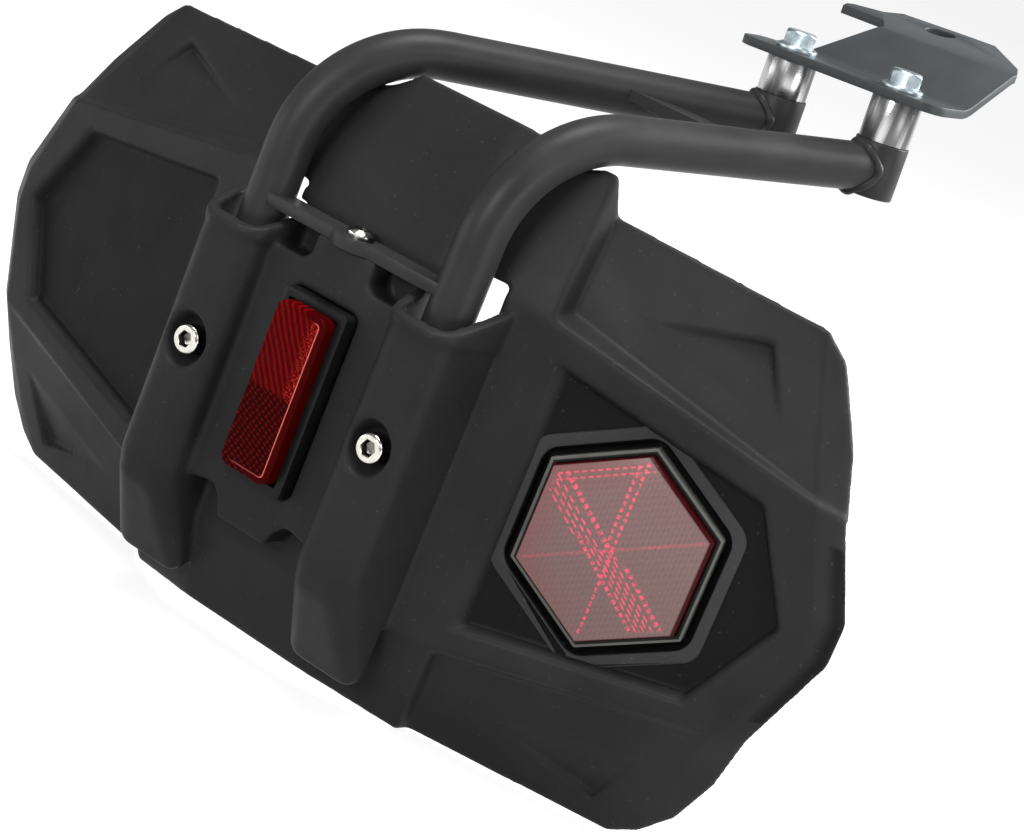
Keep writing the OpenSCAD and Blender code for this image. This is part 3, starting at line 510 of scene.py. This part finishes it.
def hex_prisms(colour):
    """Six-sided lens: pale hatched sectors, painted highlights on dotted spokes and top dashes, painted
    shade on right sides.
    """
    m = Look("hex_prisms")
    u, v = m.lens_axes("hex_reflector_lens")
    reach = m.hexagon(u, v)
    fine = m.noise(1.0, 4.0, 0.7, m.vector(u * 1.1, v * 1.1, 0.0))
    grit = m.noise(1.0, 3.0, 0.8, m.vector(u * 0.9, v * 0.9, 0.0))
    flat, thin, thick = math.radians(30.0), math.radians(142.8), math.radians(90.0)
    upper = m.between(v + u * 0.1, -2.5, -2.0)
    lower = 1.0 - upper

    def across(angle):
        """Distance from a line through the middle at this angle."""
        return v * math.cos(angle) - u * math.sin(angle)

    def band(angle, offset, width):
        """1 on a line at this angle, offset from the middle."""
        return m.between(abs(across(angle) - offset), width, width * 0.4)

    def dashes(angle, step, start):
        """1 on dashes and 0 on the gaps between them, along a line at this angle."""
        along = u * math.cos(angle) + v * math.sin(angle) + start
        return m.between(m.math("SINE", along * (math.tau / step)), -0.75, 0.05)

    # Painted highlights: bright sparks along dotted spokes and dashes
    sparks = band(flat, 0.0, 0.7) * m.spread(grit) * 0.4
    for offset in (4.0, 5.6, 7.2, 8.8):
        sparks = sparks + band(thin, offset, 0.42) * dashes(thin, 3.8, offset) * upper
    for offset in (1.3, 2.5, 3.7, 4.9, 6.1):
        sparks = sparks + band(thin, offset, 0.40) * dashes(thin, 3.8, offset) * lower
    for offset, width, side in ((1.0, 1.1, upper), (-1.0, 1.0, lower), (7.8, 0.8, lower)):
        dots = band(thin, offset, width) * dashes(thin, 2.3, offset)
        sparks = sparks + dots * m.between(grit, 0.42, 0.50) * side
    for offset, side in ((0.0, lower), (0.2, upper), (2.4, upper)):
        dots = band(thick, offset, 0.7) * dashes(thick, 2.4, offset)
        sparks = sparks + dots * m.between(grit, 0.40, 0.50) * side
    for offset in (25.0, 23.1):
        sparks = sparks + band(flat, offset, 0.42) * dashes(flat, 2.6, offset) * 0.85
    inner = m.between(reach, 26.3, 25.3)
    hot = m.math("MINIMUM", sparks, 1.0) * inner * m.between(grit, 0.32, 0.62, 0.2, 1.0)

    hatch = m.math("SINE", across(thick) * 4.4 + grit * 3.0) * 0.7
    hatch = hatch + m.math("SINE", across(flat) * 3.1 + grit * 3.0) * 0.5
    pale = m.mix(m.between(hatch, -1.2, 1.2) * 0.4 + m.spread(fine) * 0.6,
                 tone(colour, 0.80), tone(colour, 1.2))
    blush = m.between(reach, 17.0, 27.0) * m.between(u, 6.0, -22.0) + m.between(fine, 0.50, 0.72) * 0.5
    pale = m.mix(m.math("MINIMUM", blush, 1.0) * 0.40, pale,
                 (colour[0] * 1.25, colour[1] * 0.66, colour[2] * 0.70))
    body = m.mix(hot, pale, HEX_SPARK)

    # Painted shade: the lens is dark where its right and upper right sides turn away, and thinly all round
    right, upper_right = m.between(u, 26.4, 26.9), m.between(u * 0.5 + v * 0.866, 26.4, 26.9)
    body = m.mix(m.largest(right, upper_right, m.between(reach, 27.3, 27.6)), body, HEX_SIDE_SHADE)
    # Painted glow: the lens gives off a little light in its own colours
    m.shade(Base_Color=body, Roughness=m.spread(fine, 0.14, 0.24), Specular_IOR_Level=0.12,
            Emission_Color=body, Emission_Strength=0.05)
    m.bump(m.between(hatch, -1.2, 1.2), 0.00006, 0.3)
    return m.material


def nothing_selected():
    """Leaves edit mode and deselects everything."""
    if bpy.context.mode != "OBJECT":
        bpy.ops.object.mode_set(mode="OBJECT")
    bpy.ops.object.select_all(action="DESELECT")


def alone(obj):
    """Makes obj the one selected and active object."""
    nothing_selected()
    obj.select_set(True)
    bpy.context.view_layer.objects.active = obj


def copy_of(node, name):
    """A separate copy of a CAD node's mesh, with its loose triangles merged."""
    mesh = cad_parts[node].data.copy()
    mesh.name = name
    mesh.materials.clear()
    obj = bpy.data.objects.new(name, mesh)
    bpy.context.scene.collection.objects.link(obj)
    alone(obj)
    bpy.ops.object.mode_set(mode="EDIT")
    bpy.ops.mesh.select_all(action="SELECT")
    bpy.ops.mesh.remove_doubles(threshold=SAME_POINT)
    bpy.ops.object.mode_set(mode="OBJECT")
    return obj


def modify(obj, kind, **settings):
    """Adds a modifier with these settings and applies it."""
    alone(obj)
    modifier = obj.modifiers.new(kind.title(), kind)
    for key, value in settings.items():
        setattr(modifier, key, value)
    bpy.ops.object.modifier_apply(modifier=modifier.name)


def flat_faces(obj):
    """Joins the triangles of a flat side to one face."""
    alone(obj)
    bpy.ops.object.mode_set(mode="EDIT")
    bpy.ops.mesh.select_all(action="SELECT")
    bpy.ops.mesh.dissolve_limited(angle_limit=NEARLY_FLAT)
    bpy.ops.object.mode_set(mode="OBJECT")


def rounded(obj, width, segments=2, degrees=30.0):
    """Bevels a piece's edges that are sharper than degrees."""
    flat_faces(obj)
    modify(obj, "BEVEL", width=width, segments=segments, limit_method="ANGLE",
           angle_limit=math.radians(degrees), harden_normals=False, use_clamp_overlap=True)
    bpy.ops.object.shade_smooth_by_angle(angle=SMOOTH_ANGLE)
    return obj


def select_edges(obj, wanted):
    """Selects, for edit mode, only the edges whose two ends wanted says yes to."""
    mesh = obj.data
    for part in (mesh.vertices, mesh.edges, mesh.polygons):
        part.foreach_set("select", [False] * len(part))
    for edge in mesh.edges:
        start, end = (mesh.vertices[i].co for i in edge.vertices)
        edge.select = wanted(start, end)
    bpy.context.tool_settings.mesh_select_mode = (False, True, False)


def runs_along_y(start, end):
    run = end - start
    return run.length > 1 * MM and abs(run.y) > 0.9 * run.length


def round_corners(obj, width):
    """Bevels only the edges of a front-facing block that run along Y, so its outline gets round corners."""
    flat_faces(obj)
    select_edges(obj, runs_along_y)
    bpy.ops.object.mode_set(mode="EDIT")
    bpy.ops.mesh.bevel(offset=width, segments=6, affect="EDGES")
    bpy.ops.object.mode_set(mode="OBJECT")
    return obj


def soft_shell(node, name, voxel, relax, most):
    """A copy of a node rebuilt from small cells and relaxed, so its edges and joints round off."""
    obj = copy_of(node, name)
    modify(obj, "REMESH", mode="VOXEL", voxel_size=voxel, use_smooth_shade=True)
    if relax:
        modify(obj, "SMOOTH", factor=0.5, iterations=relax)
    count = sum(len(face.vertices) - 2 for face in obj.data.polygons)
    if count > most:
        modify(obj, "DECIMATE", ratio=most / count)
    alone(obj)
    bpy.ops.object.shade_smooth()
    return obj


def bead(name, points, radius):
    """A rippled weld bead along closed points, made as a bevelled curve and turned into a mesh."""
    curve = bpy.data.curves.new(name, "CURVE")
    curve.dimensions = "3D"
    curve.bevel_depth = radius
    curve.bevel_resolution = 3
    spline = curve.splines.new("POLY")
    spline.points.add(len(points) - 1)
    for i, (point, place) in enumerate(zip(spline.points, points)):
        point.co = (*place, 1.0)
        point.radius = 1.0 + 0.16 * math.sin(i * math.tau / 6.0) + 0.05 * math.sin(i * 1.7)
    spline.use_cyclic_u = True
    obj = bpy.data.objects.new(name, curve)
    bpy.context.scene.collection.objects.link(obj)
    alone(obj)
    bpy.ops.object.convert(target="MESH")
    obj = bpy.context.view_layer.objects.active
    bpy.ops.object.shade_smooth()
    return obj


def saddle(corner, boss):
    """Closed line where a tube that runs from corner to boss meets the boss's round side."""
    run = (boss - corner).normalized()
    first = run.cross(Vector((0.0, 1.0, 0.0))).normalized()
    second = first.cross(run)
    lean, upright = math.sin(BOSS_TILT), math.cos(BOSS_TILT)
    axis = Vector((-lean * upright, upright * upright, lean))
    points = []
    for i in range(SADDLE_POINTS):
        angle = math.tau * i / SADDLE_POINTS
        side = boss + (first * math.cos(angle) + second * math.sin(angle)) * TUBE_RADIUS
        back = SADDLE_REACH
        while back > 0.0:
            step = side - run * back - boss
            if (step - axis * step.dot(axis)).length < BOSS_RADIUS:
                break
            back -= SADDLE_STEP
        points.append(at(*(side - run * back)))
    return points


def ledge_centre(lens, slope):
    """Where the ledge ring's rear face goes: over the lens's middle, just under the recess floor."""
    normal = Vector((math.sin(slope), -math.cos(slope), 0.0))
    to_wing = (at(0.0, 0.0, -WING_DEPTH) - lens).dot(normal)
    return lens + normal * (to_wing - (RECESS_DEPTH + LEDGE_SUNK) * MM)


def finished(obj, material, slot, *nodes):
    """Gives a piece its material and body, and hides the CAD nodes that it stands for. Slot is not used."""
    obj.data.materials.clear()
    obj.data.materials.append(material)
    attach(obj, "root")
    if nodes:
        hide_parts(*nodes)


FINISHES = {}


def finish(name, make, *values):
    """The material called name, made the first time that it is asked for."""
    if name not in FINISHES:
        FINISHES[name] = make(*values)
    return FINISHES[name]


def sizes():
    return bpy.context.scene.fender_sizes


def colours():
    return bpy.context.scene.fender_colours


def black_coat():
    return finish("frame_coat", powder_coat, "bracket_coat", tuple(colours().frame_paint), 0.40, 0.14)


def plate_coat():
    return finish("plate_coat", powder_coat, "plate_coat", tuple(colours().plate_paint), 0.44, 0.28)


class FENDER_OT_skin(Operator):
    """Rebuild the moulded skin with soft edges and give it its grain"""

    bl_idname = "fender.skin"
    bl_label = "Moulded Skin"

    def execute(self, context):
        s = sizes()
        skin = soft_shell("fender_body", "moulded_skin", s.voxel, s.softness, s.skin_faces)
        finished(skin, finish("skin", moulded_black, tuple(colours().skin)), "skin", "fender_body")
        return {"FINISHED"}


class FENDER_OT_bracket(Operator):
    """Round and coat the bracket's tubes, bosses and bars"""

    bl_idname = "fender.bracket"
    bl_label = "Tube Bracket"

    def execute(self, context):
        coat = black_coat()
        for node in ("tube_left", "tube_right"):
            tube = soft_shell(node, node + "_coated", TUBE_VOXEL, TUBE_RELAX, TUBE_FACES)
            finished(tube, coat, "frame_paint", node)
        for node in ("boss_left", "boss_right", "cross_plate", "rear_brace"):
            piece = rounded(copy_of(node, node + "_coated"), sizes().small_round)
            finished(piece, coat, "frame_paint", node)
        return {"FINISHED"}


class FENDER_OT_welds(Operator):
    """Lay rippled weld beads where the tubes meet the bosses"""

    bl_idname = "fender.welds"
    bl_label = "Weld Beads"

    def execute(self, context):
        coat = black_coat()
        x, y, z = TUBE_CORNER
        for side, name in ((-1, "left"), (1, "right")):
            corner = Vector((side * x, y, z))
            boss = own(middle_of("boss_" + name))
            weld = bead("boss_weld_" + name, saddle(corner, boss), sizes().weld)
            finished(weld, coat, "frame_paint")
        return {"FINISHED"}


class FENDER_OT_hardware(Operator):
    """Soften the edges of spacers, bolts and screws and give them their metals"""

    bl_idname = "fender.hardware"
    bl_label = "Spacers, Bolts and Screws"

    def execute(self, context):
        width = sizes().small_round * 0.7
        groups = (
            ("spacer_metal", finish("aluminium", turned_aluminium), ("spacer_left", "spacer_right")),
            ("bolt_zinc", finish("zinc", zinc_plate),
             ("flange_bolt_left", "flange_bolt_right", "rivet_nut_left", "rivet_nut_right",
              "hex_reflector_nut", "long_reflector_nuts")),
            ("screw_steel", finish("steel", polished_steel, "rib_screw_left"),
             ("rib_screw_left", "rib_screw_right")),
            ("screw_steel", finish("small_steel", polished_steel, "tongue_screw"), ("tongue_screw",)),
            ("insert_brass", finish("brass", knurled_brass), ("tongue_insert",)),
        )
        for slot, material, nodes in groups:
            for node in nodes:
                finished(rounded(copy_of(node, node + "_plated"), width), material, slot, node)
        return {"FINISHED"}


class FENDER_OT_plate(Operator):
    """Round the mount plate's cut edges and coat it"""

    bl_idname = "fender.plate"
    bl_label = "Mount Plate"

    def execute(self, context):
        plate = rounded(copy_of("mount_plate", "mount_plate_coated"), sizes().plate_round, 3, 40.0)
        finished(plate, plate_coat(), "plate_paint", "mount_plate")
        return {"FINISHED"}


class FENDER_OT_reflectors(Operator):
    """Round the reflectors' housings and lenses and give the lenses their prisms"""

    bl_idname = "fender.reflectors"
    bl_label = "Reflectors"

    def execute(self, context):
        s = sizes()
        black = finish("housing", housing_plastic, "housing_black")
        grey_rim = finish("hex_housing", housing_plastic, "housing_worn", True)
        for node, plastic in (("long_reflector_housing", black), ("hex_reflector_housing", grey_rim)):
            housing = rounded(copy_of(node, node + "_smooth"), s.small_round, 3)
            finished(housing, plastic, "housing_black", node)
        lens = round_corners(copy_of("long_reflector_lens", "long_lens"), s.lens_corner)
        red = finish("long_lens", long_prisms, tuple(colours().lens_red))
        finished(rounded(lens, s.lens_round, 4), red, "lens_red", "long_reflector_lens")
        lens = rounded(copy_of("hex_reflector_lens", "hex_lens"), s.lens_round * 0.6, 3)
        pink = finish("hex_lens", hex_prisms, tuple(colours().lens_pink))
        finished(lens, pink, "lens_pink", "hex_reflector_lens")
        return {"FINISHED"}


class FENDER_OT_ledge(Operator):
    """Model the stepped ledge in the mouth of the six-sided pocket"""

    bl_idname = "fender.ledge"
    bl_label = "Pocket Ledge"

    def execute(self, context):
        nothing_selected()
        bpy.ops.mesh.primitive_circle_add(vertices=6, radius=LEDGE_OUT * MM, fill_type="NGON")
        ring = bpy.context.view_layer.objects.active
        ring.name = ring.data.name = "pocket_ledge"
        bpy.ops.object.mode_set(mode="EDIT")
        bpy.ops.mesh.select_all(action="SELECT")
        bpy.ops.mesh.inset(thickness=(LEDGE_OUT - LEDGE_IN) * MM * HEX_FLAT)
        bpy.ops.mesh.delete(type="FACE")
        bpy.ops.mesh.select_all(action="SELECT")
        bpy.ops.mesh.extrude_region_move(TRANSFORM_OT_translate={"value": (0.0, 0.0, LEDGE_HEIGHT * MM)})
        bpy.ops.mesh.select_all(action="SELECT")
        bpy.ops.mesh.normals_make_consistent(inside=False)
        bpy.ops.object.mode_set(mode="OBJECT")
        # Stand the ring up, lean it along the wing and bring it into the pocket's mouth
        slope = math.atan(FOLD)
        ring.data.transform(Matrix.Translation(ledge_centre(middle_of("hex_reflector_lens"), slope))
                            @ Matrix.Rotation(slope, 4, "Z") @ Matrix.Rotation(math.radians(90.0), 4, "X"))
        rounded(round_corners(ring, LEDGE_CORNER * MM), LEDGE_ROUND * MM, 3)
        # Painted light: the ledge is the skin's moulding made brighter, without the recess shade
        finished(ring, finish("ledge", moulded_black, tone(colours().skin, LEDGE_PAINTED_LIGHT), 0.0), "skin")
        return {"FINISHED"}


def seen_rays(m):
    """1 for camera, glossy and transmission rays, which see the studio's white."""
    return m.largest(*m.node("ShaderNodeLightPath",
                             out=("Is Camera Ray", "Is Glossy Ray", "Is Transmission Ray")))


def white_floor():
    """White floor that keeps the soft shadow: its own light fills up what the lamps leave."""
    m = Look("studio_floor")
    m.shade(Base_Color=FLOOR_GREY, Roughness=0.9, Specular_IOR_Level=0.0,
            Emission_Color=WHITE, Emission_Strength=seen_rays(m) * FLOOR_GLOW)
    return m.material


def floor_and_wall(level):
    """The studio's floor, whose far edge goes up as a back wall."""
    nothing_selected()
    bpy.ops.mesh.primitive_plane_add(size=FLOOR_SIZE, location=(0.0, 0.0, level))
    floor = bpy.context.view_layer.objects.active
    floor.name = "studio_floor"
    bpy.ops.object.transform_apply(location=True, rotation=False, scale=False)
    select_edges(floor, lambda start, end: start.y > 0.0 and end.y > 0.0)
    bpy.ops.object.mode_set(mode="EDIT")
    bpy.ops.mesh.extrude_region_move(TRANSFORM_OT_translate={"value": (0.0, 0.0, WALL_HEIGHT)})
    bpy.ops.object.mode_set(mode="OBJECT")
    floor.data.materials.append(white_floor())
    return floor


def white_world(scene):
    """Faint white light from all sides."""
    scene.world = bpy.data.worlds.new("studio_world")
    scene.world.use_nodes = True
    back = scene.world.node_tree.nodes["Background"]
    back.inputs["Color"].default_value = (*WHITE, 1.0)
    back.inputs["Strength"].default_value = WORLD_STRENGTH


def softboxes(scene, aim):
    """White rectangular lamps round the part, each turned to its middle."""
    for name, place, (width, height), power in LAMPS:
        lamp = bpy.data.lights.new(name, "AREA")
        lamp.shape = "RECTANGLE"
        lamp.size, lamp.size_y = width, height
        lamp.energy = power
        obj = bpy.data.objects.new(name, lamp)
        obj.location = aim + Vector(place)
        obj.rotation_mode = "QUATERNION"
        obj.rotation_quaternion = (-Vector(place)).to_track_quat("-Z", "Y")
        scene.collection.objects.link(obj)


def photo_camera(scene):
    """A camera at the photograph's place, with its angle of view."""
    camera = bpy.data.cameras.new("photo_camera")
    camera.sensor_fit = "HORIZONTAL"
    camera.sensor_width = SENSOR
    camera.lens = SENSOR * FOCAL / PHOTO_WIDTH
    camera.clip_start, camera.clip_end = 0.05, 60.0
    obj = bpy.data.objects.new("photo_camera", camera)
    scene.collection.objects.link(obj)
    right, up = Vector(CAMERA_RIGHT), Vector(CAMERA_UP)
    turn = Matrix((right, up, right.cross(up))).transposed().to_4x4()
    obj.matrix_world = Matrix.Translation(at(*CAMERA_PLACE)) @ turn
    scene.camera = obj


class FENDER_OT_studio(Operator):
    """Set up the white studio: floor, lamps, world and camera"""

    bl_idname = "fender.studio"
    bl_label = "White Studio"

    def execute(self, context):
        low, high = CAD_BOX
        scene = context.scene
        floor_and_wall(low[2] - FLOOR_GAP)
        white_world(scene)
        softboxes(scene, (Vector(low) + Vector(high)) / 2)
        photo_camera(scene)
        scene.view_settings.view_transform = "Standard"
        return {"FINISHED"}


class FENDER_PT_panel(Panel):
    """Sizes, colours and steps of the dressed fender"""

    bl_idname = "FENDER_PT_panel"
    bl_label = "Rear Fender"
    bl_space_type = "VIEW_3D"
    bl_region_type = "UI"
    bl_category = "Fender"

    def draw(self, context):
        column = self.layout.column()
        for group in (context.scene.fender_sizes, context.scene.fender_colours):
            for key in group.__annotations__:
                column.prop(group, key)
        for operator in STEPS:
            column.operator(operator.bl_idname)


STEPS = (FENDER_OT_skin, FENDER_OT_bracket, FENDER_OT_welds, FENDER_OT_hardware, FENDER_OT_plate,
         FENDER_OT_reflectors, FENDER_OT_ledge, FENDER_OT_studio)
CLASSES = (FenderSizes, FenderColours, *STEPS, FENDER_PT_panel)


def register():
    for cls in CLASSES:
        bpy.utils.register_class(cls)
    bpy.types.Scene.fender_sizes = PointerProperty(type=FenderSizes)
    bpy.types.Scene.fender_colours = PointerProperty(type=FenderColours)


def unregister():
    del bpy.types.Scene.fender_sizes
    del bpy.types.Scene.fender_colours
    for cls in reversed(CLASSES):
        bpy.utils.unregister_class(cls)


def main():
    register()
    bpy.ops.fender.skin()
    bpy.ops.fender.bracket()
    bpy.ops.fender.welds()
    bpy.ops.fender.hardware()
    bpy.ops.fender.plate()
    bpy.ops.fender.reflectors()
    bpy.ops.fender.ledge()
    bpy.ops.fender.studio()


if __name__ == "__main__":
    main()
